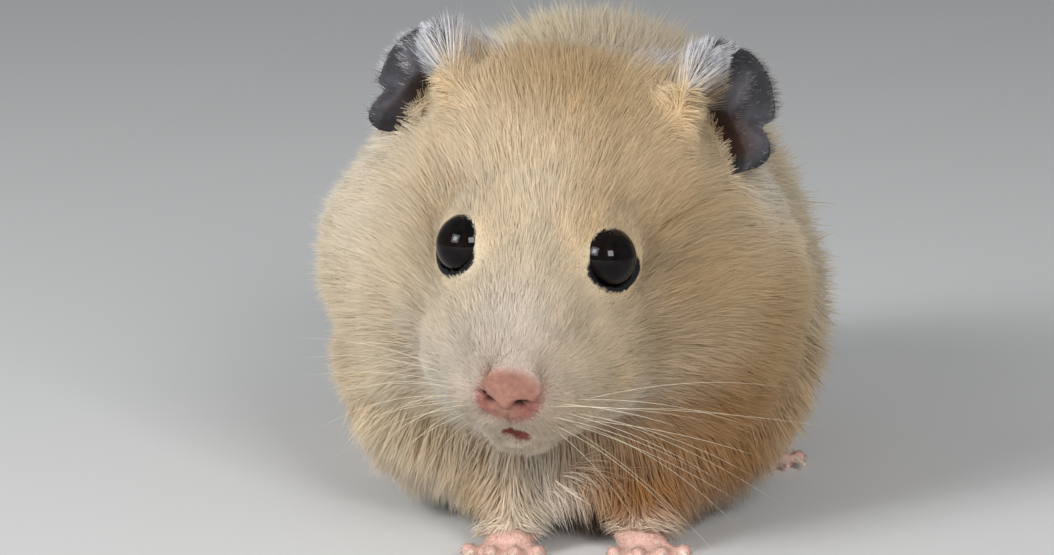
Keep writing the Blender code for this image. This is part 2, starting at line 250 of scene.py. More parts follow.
# --- Skin ---------------------------------------
# One unbroken skin from the nose to the tail and out to the toes. The pieces of flesh, the lids and the
# tips of the toes are made one, and sunk in by the coat's depth. It shows on the nose, lips, lids and
# soles, and through the thin hair of the ears and feet.
FATTEN = 0.35 * MM  # closes the thin cuts between the pieces of flesh
SKIN_VOXEL = 0.42 * MM
COAT_DEPTH = {  # millimetres from the coat's tips to the skin
    "head": 2.3, "muzzle": 0.6, "nose": 0.0, "lower_jaw": 1.3, "cheek_left": 3.8, "cheek_right": 3.8,
    "ear_left": 0.0, "ear_right": 0.0, "neck": 4.5, "chest": 5.0, "trunk": 5.5, "rump": 5.5, "tail": 0.5,
    "foreleg_left": 2.6, "foreleg_right": 2.6, "forepaw_left": 0.0, "forepaw_right": 0.0,
    "hindleg_left": 4.0, "hindleg_right": 4.0, "hindfoot_left": 0.0, "hindfoot_right": 0.0,
}
LID_RADIUS, LID_OUT = 3.70 * MM, 1.60 * MM
TOE_RADIUS, TOE_BACK, TOE_HEIGHT, TOE_STRETCH = 0.95 * MM, 0.45 * MM, 1.35 * MM, 1.5

flesh, flesh_points, flesh_faces, flesh_names = [], [], [], []
for name in COAT_DEPTH:
    copy = frame["nodes"][name].copy()
    copy.data = copy.data.copy()
    copy.parent = None
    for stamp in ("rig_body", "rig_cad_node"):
        del copy[stamp]
    copy.name = f"flesh {name}"
    bpy.context.scene.collection.objects.link(copy)
    flesh.append(copy)
    start = len(flesh_points)
    flesh_points += [v.co.copy() for v in copy.data.vertices]
    flesh_faces += [[start + i for i in p.vertices] for p in copy.data.polygons]
    flesh_names += [name] * len(copy.data.polygons)
flesh_tree = BVHTree.FromPolygons(flesh_points, flesh_faces)


def pick(obj):
    """Makes one object the only one selected, and the active one."""
    bpy.ops.object.select_all(action="DESELECT")
    obj.select_set(True)
    bpy.context.view_layer.objects.active = obj


def apply_modifier(obj, kind, **settings):
    """Adds a modifier, sets it and applies it."""
    bpy.context.view_layer.objects.active = obj
    added = obj.modifiers.new(kind.lower(), kind)
    for key, value in settings.items():
        setattr(added, key, value)
    bpy.ops.object.modifier_apply(modifier=added.name)


for copy in flesh:
    pick(copy)
    bpy.ops.object.mode_set(mode="EDIT")
    bpy.ops.mesh.select_all(action="SELECT")
    bpy.ops.mesh.remove_doubles(threshold=0.00001)
    bpy.ops.transform.shrink_fatten(value=FATTEN)
    bpy.ops.object.mode_set(mode="OBJECT")
    if "ear" in copy.name:
        apply_modifier(copy, "SUBSURF", levels=2, render_levels=2)


def lid_ball(name, side):
    """The ball of a lid: it wraps the eye, and is cut off flat where the eye looks out."""
    centre, forward = middle(f"eye_{name}"), gaze(side, LIDS_OUT)
    made = round_ball(48, 32, LID_RADIUS, centre)
    bpy.ops.object.mode_set(mode="EDIT")
    bpy.ops.mesh.select_all(action="SELECT")
    cut = centre + forward * LID_OUT
    bpy.ops.mesh.bisect(plane_co=cut, plane_no=forward, use_fill=True, clear_outer=True)
    bpy.ops.object.mode_set(mode="OBJECT")
    return made


def toe_ball(claw):
    """The tip of a toe, round the root of its claw."""
    low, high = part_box(claw)
    made = round_ball(20, 12, TOE_RADIUS, Vector(((low.x + high.x) / 2, high.y + TOE_BACK, TOE_HEIGHT)))
    made.scale = (1.0, TOE_STRETCH, 1.0)
    return made


for side_name, side in EYE_SIDES.items():
    flesh.append(lid_ball(side_name, side))
for name in frame["nodes"]:
    if "claw" in name:
        flesh.append(toe_ball(name))
bpy.ops.object.select_all(action="DESELECT")
for copy in flesh:
    copy.select_set(True)
bpy.context.view_layer.objects.active = flesh[0]
bpy.ops.object.join()
skin = bpy.context.object
skin.name = "skin"
bpy.ops.object.transform_apply(location=True, rotation=True, scale=True)
apply_modifier(skin, "REMESH", mode="VOXEL", voxel_size=SKIN_VOXEL, adaptivity=0.0)

EAR_FACING, EAR_RISING = (0.62, -0.60, 0.50), (0.36, 0.50, 0.85)
EAR_HALF_WIDE, EAR_HALF_TALL = 6.3, 7.8


def ear_axes(name):
    """The ear's own directions in the row frame: outwards across it, up along it, and the way it faces."""
    side = EYE_SIDES[name]
    facing = Vector((side * EAR_FACING[0], *EAR_FACING[1:])).normalized()
    rising = Vector((side * EAR_RISING[0], *EAR_RISING[1:]))
    rising = (rising - facing * rising.dot(facing)).normalized()
    outward = rising.cross(facing) * side
    return np.array([head_axes @ outward, head_axes @ rising, head_axes @ facing])


EAR_AXES = {name: ear_axes(name) for name in EYE_SIDES}
EAR_MIDDLES = {name: np.array(middle(f"ear_{name}")) for name in EYE_SIDES}


def in_ear(points, name):
    """Points in an ear's own frame, in millimetres."""
    return (points - EAR_MIDDLES[name]) @ EAR_AXES[name].T / MM


def near_ear(points, name, within=12):
    """Which points lie in a box about an ear, reaching that many millimetres each way."""
    return np.abs(in_ear(points, name)).max(1) < within


def read(what, key, width, kind=np.float32):
    """One property of all of a mesh's elements, as rows."""
    values = np.empty(len(what) * width, kind)
    what.foreach_get(key, values)
    return values.reshape(-1, width).astype(float if kind == np.float32 else kind)


def finer(obj, wanted):
    """Divides each face whose middle is wanted in four."""
    pick(obj)
    bpy.ops.object.mode_set(mode="EDIT")
    bpy.ops.mesh.select_mode(type="FACE")
    bpy.ops.mesh.select_all(action="DESELECT")
    bpy.ops.object.mode_set(mode="OBJECT")
    centres = read(obj.data.polygons, "center", 3)
    obj.data.polygons.foreach_set("select", wanted(centres))
    bpy.ops.object.mode_set(mode="EDIT")
    bpy.ops.mesh.subdivide(number_cuts=1)
    bpy.ops.object.mode_set(mode="OBJECT")


def evened(values, pairs, rounds, pull=0.5):
    """Values on a mesh's corners, each drawn towards the mean of its neighbours."""
    one = values.ndim == 1
    values = values.reshape(len(values), -1).copy()
    count = len(values)
    near = np.bincount(pairs[:, 0], minlength=count) + np.bincount(pairs[:, 1], minlength=count)
    pull = np.broadcast_to(pull, (count,))
    for _ in range(rounds):
        for column in range(values.shape[1]):
            own = values[:, column]
            total = np.bincount(pairs[:, 0], own[pairs[:, 1]], count)
            total += np.bincount(pairs[:, 1], own[pairs[:, 0]], count)
            values[:, column] = own + pull * (total / near - own)
    return values[:, 0] if one else values


def evened_within(values, pairs, rounds, pull, chosen):
    """The same, for the chosen corners only."""
    used, near = np.unique(pairs[chosen[pairs].any(1)], return_inverse=True)
    values = values.copy()
    values[used] = evened(values[used], near.reshape(-1, 2), rounds, (pull * chosen)[used])
    return values


def ramp(values, start, end):
    """0 before start, 1 after end, and smooth between."""
    share = np.clip((values - start) / (end - start), 0.0, 1.0)
    return share * share * (3 - 2 * share)


def bell(values, middle, width):
    """1 at the middle, fading out on both sides over the width."""
    return np.exp(-(((values - middle) / width) ** 2))


def blob(points, centre, radii):
    """1 at the centre, fading out over the radii."""
    return np.exp(-(((points - np.array(centre)) / np.array(radii)) ** 2).sum(1))


def part_names(points):
    """The piece of the animal that each point lies nearest to."""
    return np.array([flesh_names[flesh_tree.find_nearest(Vector(p))[2]] for p in points])


def from_eyes(points):
    """How far each point is from the nearer eye's centre, in millimetres."""
    gaps = [np.linalg.norm(points - np.array(middle(f"eye_{name}")), axis=1) for name in EYE_SIDES]
    return np.minimum(*gaps) / MM


SNOUT = (-0.5, -15.0, -9.5)
FINE_SNOUT, FINEST_SNOUT, FINE_EYE, FINE_EAR = 8.5, 6.2, 5.4, 9  # how far the finer skin reaches


def from_snout(points):
    """How far each point is from the middle of the snout, in millimetres."""
    return np.linalg.norm(in_head(points) - np.array(SNOUT), axis=1)


finer(skin, lambda at: (from_snout(at) < FINE_SNOUT) | (from_eyes(at) < FINE_EYE)
      | near_ear(at, "left", FINE_EAR) | near_ear(at, "right", FINE_EAR))
finer(skin, lambda at: from_snout(at) < FINEST_SNOUT)


def past_lids(points):
    """How far each point of the skin lies outside the nearer eye's opening, in millimetres."""
    gaps = []
    for name, side in EYE_SIDES.items():
        out = points - np.array(middle(f"eye_{name}"))
        away = np.linalg.norm(out, axis=1)
        turned = np.arccos(np.clip(out @ np.array(gaze(side, LIDS_OUT)) / away, -1, 1)) - EYE_OPENING
        gaps.append(np.hypot(turned * EYE_RADIUS, np.maximum(away - EYE_RADIUS - 0.5 * MM, 0)))
        gaps[-1] *= np.where((turned < 0) & (away < EYE_RADIUS + 0.9 * MM), -1, 1)
    return np.minimum(*gaps) / MM


def put(mesh, places):
    """Moves a mesh's corners to their places."""
    mesh.vertices.foreach_set("co", places.astype(np.float32).ravel())
    mesh.update()


def by_piece(table):
    """A table's value at each corner of the skin, evened out everywhere but on the small pieces."""
    own = np.array([table[name] for name in belongs])
    return np.where(small_share > 0.6, own, evened(own, pairs, 60))


EAR_PARTS = ("ear_left", "ear_right")
FOOT_PARTS = ("forepaw_left", "forepaw_right", "hindfoot_left", "hindfoot_right", "tail")
POUCH, POUCH_RADII = (17, 9, -12), (8, 9, 17)
INSET_STEPS = 4
SNOUT_DEPTH, DEEPER_FROM, DEEPER_BY = 0.45, 6.5, 0.30  # the coat's depth on the snout, and how it grows

mesh = skin.data
places = read(mesh.vertices, "co", 3)
pairs = read(mesh.edges, "vertices", 2, np.int32)
belongs = part_names(places)
ear_share = evened(np.isin(belongs, EAR_PARTS).astype(float), pairs, 4)
small_share = evened(np.isin(belongs, EAR_PARTS + FOOT_PARTS).astype(float), pairs, 6)
near_lids = 1 - ramp(from_eyes(places), 4.4, 6.0)
snout_gap = from_snout(places)
depth = evened(by_piece(COAT_DEPTH), pairs, 4)
depth = np.minimum(depth, SNOUT_DEPTH + DEEPER_BY * np.maximum(snout_gap - DEEPER_FROM, 0))
depth *= ramp(from_eyes(places), 3.6, 8.0) * 0.97 + 0.03

# The steps between the pieces are smoothed away, while the snout, the lids and the small pieces stay.
# The pouches are smoothed most, and then the whole is sunk in step by step and smoothed once more.
still = np.clip(small_share + near_lids + 0.85 * (1 - ramp(snout_gap, 8.0, 14.0)), 0.0, 1.0)
places = evened(places, pairs, 14, 0.5 * ear_share)
places = evened(places, pairs, 90, 0.5 * (1 - still))
places = evened(places, pairs, 3, 0.5 * (1 - 0.9 * small_share * (1 - ear_share)))
head = in_head(places)
pouch = blob(np.column_stack((np.abs(head[:, 0]), head[:, 1:])), POUCH, POUCH_RADII) * (1 - still)
places = evened_within(places, pairs, 600, 0.5 * ramp(pouch, 0.05, 0.45), pouch > 0.05)
put(mesh, places)
for _ in range(INSET_STEPS):
    normals = read(mesh.vertex_normals, "vector", 3)
    places -= normals * ((FATTEN * (1 - 0.6 * small_share) + depth * MM) / INSET_STEPS)[:, None]
    places = evened(places, pairs, 3, 0.5 * (1 - still))
    put(mesh, places)
places = evened(places, pairs, 40, 0.5 * (1 - still))
places = evened(places, pairs, 5, 0.5 * np.maximum(near_lids, ear_share))
put(mesh, places)

# The markings: cream to light gold, white low down and round the mouth, orange on the chest's left side.
# Painted light and shade are laid in with them: paler on the lit cheek and on the back, deeper gold and
# orange on the shaded cheek, flank and chest
GOLD, CREAM, PALE, WHITE = (0.59, 0.39, 0.165), (0.71, 0.555, 0.34), (0.80, 0.70, 0.53), (0.84, 0.795, 0.72)
# the orange is the chest's own orange-brown, made darker and deeper as painted shade
ORANGE_AND_PAINTED_SHADE, DUSKY, ROSE = (0.50, 0.205, 0.022), (0.62, 0.575, 0.545), (0.50, 0.34, 0.285)
# a painted light on the back, lighter than any of the coat's own colours
PALE_BACK_AND_PAINTED_LIGHT = (0.96, 0.85, 0.63)
LIP_RED, WING_RED = (0.22, 0.050, 0.036), (0.20, 0.055, 0.046)
EAR_DEEP, EAR_BROWN = (0.048, 0.020, 0.013), (0.028, 0.020, 0.019)
# a painted sheen on the ear's fold, and the grey-purple of its flap
EAR_GREY_AND_PAINTED_SHEEN = (0.105, 0.095, 0.110)
NOSE_PINK, LID_DARK, EAR_CHARCOAL = (0.34, 0.165, 0.12), (0.004, 0.003, 0.004), (0.022, 0.022, 0.025)
FOOT_PINK = (0.66, 0.40, 0.34)
HEAD_MARKINGS = [  # colour, centre and radii in the head's frame, strength
    (GOLD, (1, 14, 11), (12, 10, 9), 0.80),
    # these two: the cheek on the animal's left in its own gold, deepened by painted shade
    (GOLD, (13, 3, -8), (7, 8, 4.5), 0.75),
    (GOLD, (19, 12, -18), (8, 9, 9), 0.85),
    (GOLD, (-13, 3, -9), (5, 7, 5), 0.25),
    # the cheek on the animal's right in its own pale cream, whitened by a painted highlight
    (WHITE, (-20, 12, -8), (9, 14, 12), 0.55),
    (WHITE, (-8, 4, 7), (6, 9, 6), 0.42),
    (PALE, (0, 2, 3), (4.5, 9, 7), 0.65),
    (PALE, (9, -1, -7), (5, 6, 4), 0.40),
    # painted light: paler low on the cheek on the animal's right, against the shade that falls there
    (PALE, (-16, 3, -21), (7, 9, 6), 0.85),
    (GOLD, (14, 9, -1), (5, 6, 5), 0.40),
    (PALE, (-9, -2, -7), (6, 7, 6), 0.8),
    (GOLD, (6, 0, 4), (2.5, 5, 4), 0.35),
    (WHITE, (-1, -9, -8), (7.5, 9, 8), 0.95),
    (WHITE, (-3, -6, -20.5), (9, 9, 5), 0.95),
    (WHITE, (-9, -5, -15), (6, 7, 6), 0.8),
    (WHITE, (9, -6, -17), (4.5, 6, 3.5), 0.55),
    (ORANGE_AND_PAINTED_SHADE, (16, 3, -22), (5, 6, 4), 0.45),
    (WHITE, (-22, 20, -1), (5, 6, 4), 0.9),
    (WHITE, (22, 20, -4), (4, 6, 4.5), 0.9),
    (DUSKY, (-1, -12, -3), (5, 7, 6), 0.65),
    (DUSKY, (-5, -11, -10), (4, 5, 5), 0.35),
    (ROSE, (-0.7, -15.5, -7.8), (4.8, 5.0, 4.3), 0.55),
]
BODY_MARKINGS = [  # the same, in the row frame
    # the chest in its own orange-brown, darkened and deepened by painted shade, most on the animal's left
    (ORANGE_AND_PAINTED_SHADE, (5.5, -38, 9.5), (9.5, 12, 6.5), 0.97),
    (ORANGE_AND_PAINTED_SHADE, (16.5, -32, 12), (8, 12, 8), 0.93),
    (GOLD, (-10.8, -38, 11), (3.5, 14, 9), 0.92),
    (GOLD, (-18, -38, 14), (5, 14, 9), 0.50),
    (WHITE, (-5.3, -38, 12), (2.8, 12, 7), 0.85),
    (WHITE, (8, -40, 1.5), (6, 9, 2.2), 0.50),
    # deeper gold on the flank on the animal's left, away from the lamps: partly painted shade
    (GOLD, (28, -18, 16), (7, 18, 10), 0.30),
    # painted light: the top of the back lightened past its own pale cream, where the lamps leave it dim
    (PALE_BACK_AND_PAINTED_LIGHT, (0, 20, 38), (40, 50, 26), 0.90),
]


def painted(colours, paint, share):
    """Colours with a share of a paint laid over them."""
    return colours * (1 - share[:, None]) + np.array(paint) * share[:, None]


def markings(points):
    """The colour of the coat at each point of the skin, with the painted light and shade of its markings.
    """
    head, body = in_head(points), points / MM
    colour = painted(np.array(WHITE), CREAM, ramp(body[:, 2], 3.0, 19.0))
    colour = painted(colour, GOLD, 0.15 * ramp(body[:, 2], 30.0, 50.0))
    for at, table in ((body, BODY_MARKINGS), (head, HEAD_MARKINGS)):
        for paint, centre, radii, strength in table:
            colour = painted(colour, paint, strength * blob(at, centre, radii))
    return colour


def skin_material():
    """Soft skin in the mesh's own colours, mottled and roughened by its pores."""
    made, nodes, links, shader = new_material("bare and coated skin", {
        "Roughness": 0.55, "Specular IOR Level": 0.25,
        "Subsurface Weight": 0.15, "Subsurface Radius": (0.002, 0.001, 0.0006)})
    tint = nodes.new("ShaderNodeAttribute")
    tint.attribute_name = "tint"
    place = nodes.new("ShaderNodeTexCoord")
    pores = settle(nodes.new("ShaderNodeTexNoise"), {"Scale": 1900.0, "Detail": 4.0})
    spread = settle(nodes.new("ShaderNodeMapRange"), {"To Min": 0.58, "To Max": 1.40})
    mottled = nodes.new("ShaderNodeVectorMath")
    mottled.operation = "SCALE"
    bump = settle(nodes.new("ShaderNodeBump"), {"Strength": 0.6, "Distance": 0.0001})
    links.new(place.outputs["Object"], pores.inputs["Vector"])
    links.new(pores.outputs["Fac"], spread.inputs["Value"])
    links.new(tint.outputs["Color"], mottled.inputs[0])
    links.new(spread.outputs["Result"], mottled.inputs["Scale"])
    links.new(mottled.outputs["Vector"], shader.inputs["Base Color"])
    links.new(pores.outputs["Fac"], bump.inputs["Height"])
    links.new(bump.outputs["Normal"], shader.inputs["Normal"])
    return made


def stored(mesh, name, colours):
    """Keeps a colour for each corner of a mesh."""
    kept = mesh.color_attributes.new(name, "FLOAT_COLOR", "POINT")
    opaque = np.column_stack((colours, np.ones(len(colours))))
    kept.data.foreach_set("color", opaque.astype(np.float32).ravel())


# The shapes of the nose, mouth and ears, pushed out of the skin or into it
NOSE_MIDDLE, NOSTRIL_MIDDLE = -0.5, -1.0
SNOUT_FORMS = [  # centre and radii in the head's frame, x from the nose's middle, and how far it stands out
    ((0, -14.5, -11.2), (4.6, 5.0, 3.4), 0.4),
    ((0, -16.2, -8.4), (2.2, 3.0, 1.6), 0.25),
    ((0, -16.2, -9.6), (0.75, 3.0, 1.4), 0.35),
    ((3.0, -15.6, -9.8), (1.1, 2.4, 1.3), 0.40),
    ((0, -16.0, -11.6), (0.22, 3.0, 1.4), -0.30),
    ((2.0, -14.2, -12.8), (1.7, 3.0, 1.5), 0.35),
    ((0, -12.0, -17.0), (4.4, 5.0, 2.8), 1.4),
    ((0, -5.0, -19.5), (6.0, 6.0, 4.0), 1.3),
]
NOSTRILS = [
    ((1.55, -15.8, -8.9), (0.62, 2.6, 0.62), -1.5), ((2.25, -15.6, -8.35), (0.62, 2.4, 0.36), -0.9),
]
NOSTRIL_WING, WING_RADII = (2.6, -15.6, -9.4), (1.5, 3.0, 1.4)
NOSE_PATCH, NOSE_PATCH_RADII = (-0.7, -15.5, -8.0), (4.6, 5.0, 4.4)
MOUTH_OPEN = ((0.3, -14.0, -14.9), (1.25, 3.4, 1.35), -2.3)
MOUTH_LINE = [
    (-7.5, -9.5, -15.8), (-3.6, -12.8, -16.2), (-0.4, -14.4, -14.6),
    (3.8, -12.8, -16.0), (7.0, -9.4, -15.8),
]
MOUTH_DEPTH, MOUTH_HALF = 0.55, 0.32
CONCH, CONCH_RADII, CONCH_DEPTH = (1.9, -3.0, 0.0), (4.4, 5.0, 6.0), 2.0
UNDERCOAT = 0.72  # how much darker the skin is than the coat over it


def along_line(corners, count):
    """Points evenly set along straight runs between corners."""
    corners = np.array(corners, float)
    spot = np.linspace(0, len(corners) - 1, count)
    return np.column_stack([np.interp(spot, range(len(corners)), column) for column in corners.T])


normals = read(mesh.vertex_normals, "vector", 3)
head = in_head(places)
push = np.zeros(len(places))
for centre, radii, height in SNOUT_FORMS:
    for side in ((1, -1) if centre[0] else (1,)):
        push += height * blob(head, (side * centre[0] + NOSE_MIDDLE, *centre[1:]), radii)
nostril_share = np.zeros(len(places))
for centre, radii, height in NOSTRILS:
    for side in (1, -1):
        hole = blob(head, (side * centre[0] + NOSTRIL_MIDDLE, *centre[1:]), radii)
        nostril_share = np.maximum(nostril_share, hole)
        push += height * hole
centre, radii, height = MOUTH_OPEN
mouth_share = blob(head, (centre[0] + NOSE_MIDDLE, *centre[1:]), radii)
push += height * mouth_share
close = from_snout(places) < 14
line = along_line(MOUTH_LINE, 90)
line[:, 0] += NOSE_MIDDLE
mouth_gap = np.full(len(places), 99.0)
mouth_gap[close] = np.linalg.norm(head[close][:, None, :] - line[None, :, :], axis=2).min(1)
lip_share = bell(mouth_gap / MOUTH_HALF, 0, 1.6)
push -= MOUTH_DEPTH * bell(mouth_gap, 0, MOUTH_HALF)
places += normals * (push * MM)[:, None]


def ear_foot(points):
    """Which points lie low on the inner side of an ear, where the crown's coat runs up it."""
    low = np.zeros(len(points), bool)
    for name in EYE_SIDES:
        ear = in_ear(points, name)
        inward = ear[:, 0] < -2.8
        low |= near_ear(points, name) & inward & (ear[:, 1] < -0.8 - 0.6 * (ear[:, 0] + 2.8))
    return low


conch_share = np.zeros(len(places))
for name in EYE_SIDES:
    ear, facing = in_ear(places, name), EAR_AXES[name][2]
    outward, rise = ear[:, 0] / EAR_HALF_WIDE, ear[:, 1] / EAR_HALF_TALL
    to_edge, turn = np.hypot(outward, rise), np.arctan2(rise, outward)
    here = near_ear(places, name)
    nick = bell(turn, -0.12, 0.13) * ramp(to_edge, 0.55, 1.0)
    flap = bell(turn, -0.45, 0.22) * ramp(to_edge, 0.5, 1.0)
    fold = bell(outward - 0.28 - 0.25 * rise, 0, 0.16)
    forward = 0.9 * ramp(to_edge, 0.72, 1.02) * ramp(rise, -0.9, 0.2)
    forward += 0.7 * fold * ramp(rise, -0.7, 0.1) * (1 - ramp(rise, 0.35, 0.8))
    forward += 0.8 * flap
    inward = 1.3 * nick - 0.7 * flap
    move = np.column_stack((-inward * np.cos(turn), -inward * np.sin(turn), forward))
    places += (ear_share * here * MM)[:, None] * (move @ EAR_AXES[name])
    hollow = blob(ear, CONCH, CONCH_RADII)
    hollow *= ramp(normals @ facing, 0.0, 0.3) * here
    conch_share = np.maximum(conch_share, hollow)
    places -= (CONCH_DEPTH * hollow * (1 - ear_share) * MM)[:, None] * facing
foot_share = evened(ear_foot(places).astype(float), pairs, 8)
places = evened_within(places, pairs, 110, 0.5 * foot_share, foot_share > 0.02)
put(mesh, places)
head = in_head(places)

# The skin's colours: the markings under the coat, then the nose, ears, lips, nostrils, lids and feet, with
# a painted sheen on the ears and painted shade in the mouth and nostrils
tint = markings(places) * UNDERCOAT
tint = painted(tint, NOSE_PINK, ramp(blob(head, NOSE_PATCH, NOSE_PATCH_RADII), 0.15, 0.6))
dark = np.clip(1.6 * ear_share + ramp(conch_share, 0.20, 0.40), 0, 1)
to_rim = np.full(len(places), 9.0)
sheen = np.zeros(len(places))
for name in EYE_SIDES:
    ear = in_ear(places, name)
    to_edge = np.hypot(ear[:, 0] / EAR_HALF_WIDE, (ear[:, 1] + 1.5) / EAR_HALF_TALL)
    to_rim = np.minimum(to_rim, to_edge + (np.abs(ear[:, 2]) > 9) * 9)
    dark *= 1 - (1 - ramp(ear[:, 0], -5.6, -3.4)) * near_ear(places, name)
    # painted sheen: a lighter grey on the fold's ridge, where it would catch the light; the second patch is
    # the flap's own grey-purple
    sheen += 0.9 * blob(ear, (2.2, 2.4, 0), (1.2, 1.8, 5)) + 0.6 * blob(ear, (5.2, -0.8, 0), (1.4, 1.6, 5))
ear_tint = painted(np.array(EAR_BROWN), EAR_CHARCOAL, ramp(to_rim, 0.45, 0.85))
ear_tint = painted(ear_tint, EAR_DEEP, ramp(conch_share, 0.55, 0.95))
ear_tint = painted(ear_tint, EAR_GREY_AND_PAINTED_SHEEN, np.clip(sheen, 0, 1))
tint = painted(tint, ear_tint, dark)
# the lips in their own red, and darker inside the mouth by painted shade
within = 1 - 0.6 * ramp(mouth_share, 0.55, 0.9)[:, None]
tint = painted(tint, np.array(LIP_RED) * within, np.maximum(0.6 * lip_share, ramp(mouth_share, 0.08, 0.30)))
x, y, z = NOSTRIL_WING
wings = [blob(head, (NOSTRIL_MIDDLE + side * x, y, z), WING_RADII) for side in (1, -1)]
tint = painted(tint, WING_RED, 0.75 * np.maximum(*wings))
# the nostrils in their own dark red, darkened further by painted shade as if deep
tint = painted(tint, np.array(WING_RED) * 0.20, ramp(nostril_share, 0.25, 0.75))
tint = painted(tint, LID_DARK, 1 - ramp(past_lids(places), 0.05, 0.28))
tint = painted(tint, FOOT_PINK, small_share * (1 - ear_share) * (1 - ramp(places[:, 2] / MM, 18, 24)))
stored(mesh, "tint", tint)
skin.data.materials.clear()
skin.data.materials.append(skin_material())
bpy.ops.object.shade_smooth()
KEPT_TRIANGLES = 0.40  # of the skin's own, the rest being taken from under the coat
covered = skin.vertex_groups.new(name="under the coat")
under = (small_share < 0.05) & (snout_gap > 9.5) & (from_eyes(places) > 6.0) & (conch_share < 0.05)
covered.add(np.flatnonzero(under).tolist(), 1.0, "REPLACE")
skin_normals = read(mesh.vertex_normals, "vector", 3)
mesh.calc_loop_triangles()
corners = read(mesh.loop_triangles, "vertices", 3, np.int32)
apply_modifier(skin, "DECIMATE", ratio=KEPT_TRIANGLES, vertex_group=covered.name)
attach(skin, "root")
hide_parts(*COAT_DEPTH)

# --- Coat of the face ---------------------------
# Short, fine and dense hair that runs back from the nose over the forehead and round the eyes. Each
# tuft is a thin tapering blade rooted in the skin, gathered with its neighbours towards one tip.
HAIR_LENGTH = {  # millimetres
    "head": 3.6, "muzzle": 1.9, "nose": 0.5, "lower_jaw": 2.4, "cheek_left": 5.5, "cheek_right": 5.5,
    "ear_left": 0.9, "ear_right": 0.9, "neck": 7.5, "chest": 8.0, "trunk": 9.5, "rump": 9.5, "tail": 1.2,
    "foreleg_left": 4.5, "foreleg_right": 4.5, "forepaw_left": 0.9, "forepaw_right": 0.9,
    "hindleg_left": 7.0, "hindleg_right": 7.0, "hindfoot_left": 1.0, "hindfoot_right": 1.0,
}
NOSE_LEATHER, NOSE_LEATHER_RADII = (-0.9, -15.8, -8.9), (1.12, 1.3, 0.80)
EAR_FOOT_HAIR = 2.8

hair_length = by_piece(HAIR_LENGTH)
hair_length = np.where(ear_foot(places) & (ear_share > 0), EAR_FOOT_HAIR, hair_length)
hair_length = evened(hair_length, pairs, 6)
hair_length *= 0.11 + 0.89 * ramp(past_lids(places), 0.1, 5.0)
nose_gap = np.linalg.norm((head - np.array(NOSE_LEATHER)) / np.array(NOSE_LEATHER_RADII), axis=1)
hair_length *= 0.20 + 0.80 * ramp(nose_gap, 2.3, 8.5)
hair_length *= (0.30 + 0.70 * ramp(mouth_gap, 0.2, 3.0)) * (1 - 0.6 * ramp(mouth_share, 0.02, 0.15))

# How thickly the hair stands: not on the lids, nose, lips, ear canals and soles
thickness = ramp(past_lids(places), 0.12, 0.30) * ramp(nose_gap, 2.0, 4.0)
bare_from = 0.12 + 0.30 * ramp(-head[:, 2], 14.6, 15.6)
thickness *= (1 - ramp(mouth_share - bare_from, 0.0, 0.2)) * (1 - 0.8 * ramp(conch_share, 0.35, 0.6))
thickness *= 1 - ramp(-skin_normals[:, 2], 0.1, 0.6) * (1 - ramp(places[:, 2] / MM, 1.5, 4.0)) * small_share

# The hair stands off an evened skin, so that it doesn't fan out over each small hump
soft = ramp(snout_gap, 9.0, 14.0) * ramp(from_eyes(places), 6.0, 9.0)
soft = (soft * (1 - ramp(small_share + conch_share, 0.0, 0.2)))[:, None]
soft_normals = skin_normals * (1 - soft) + evened(skin_normals, pairs, 40) * soft
soft_normals = evened_within(soft_normals, pairs, 260, 0.5, foot_share > 0.02)
soft_normals /= np.linalg.norm(soft_normals, axis=1)[:, None]
thickness *= ramp((skin_normals * soft_normals).sum(1), -0.1, 0.35)

edge_a = places[corners[:, 1]] - places[corners[:, 0]]
edge_b = places[corners[:, 2]] - places[corners[:, 0]]
areas = np.linalg.norm(np.cross(edge_a, edge_b), axis=1) / 2
weights = areas * thickness[corners].mean(1) / np.sqrt(hair_length[corners].mean(1))
middles = places[corners].mean(1)
part_of = belongs[corners[:, 0]]


def unit(vectors):
    """Each row at a length of one."""
    return vectors / np.maximum(np.linalg.norm(vectors, axis=1), 1e-12)[:, None]


def planted(chosen, count, luck):
    """Roots scattered over the chosen triangles of the skin: places, normals and hair lengths."""
    share = np.where(chosen, weights, 0.0)
    picked = luck.choice(len(share), count, p=share / share.sum())
    u, v = luck.random(count), luck.random(count)
    flip = u + v > 1
    u[flip], v[flip] = 1 - u[flip], 1 - v[flip]
    mix = np.column_stack((1 - u - v, u, v))
    roots = np.einsum("nk,nkd->nd", mix, places[corners[picked]])
    normals = unit(np.einsum("nk,nkd->nd", mix, soft_normals[corners[picked]]))
    return roots, normals, (mix * hair_length[corners[picked]]).sum(1)


def laid(way, normals, risen=1.0, sunk=1.0):
    """A way bent along the skin, by taking off that much of its rise from it or of its fall into it."""
    outwards = (way * normals).sum(1)[:, None]
    return unit(way - np.where(outwards > 0, risen, sunk) * outwards * normals)


NOSE_TIP = (-0.5, -12.5, -8.5)


def lie_of_coat(roots, normals):
    """Which way the coat lies: away from the nose on the face, and to the back and down on the body."""
    head = in_head(roots)
    from_nose = unit(head - np.array(NOSE_TIP)) @ HEAD_AXES.T
    backward = unit(np.array((0.0, 1.0, -0.45)) + np.zeros_like(roots))
    share = ramp(head[:, 1], 4.0, 20.0)[:, None]
    return laid(from_nose * (1 - share) + backward * share, normals)


def waves(points, size, seed):
    """A smooth random value from about -1 to 1 at each point, with bumps of that size."""
    luck = np.random.default_rng(seed)
    total = np.zeros(len(points))
    for _ in range(7):
        way = unit(luck.normal(size=(1, 3)))[0]
        total += np.sin(points @ way * (2 * math.pi / size) * luck.uniform(0.6, 1.5) + luck.uniform(0, 6.3))
    return total / 2.6


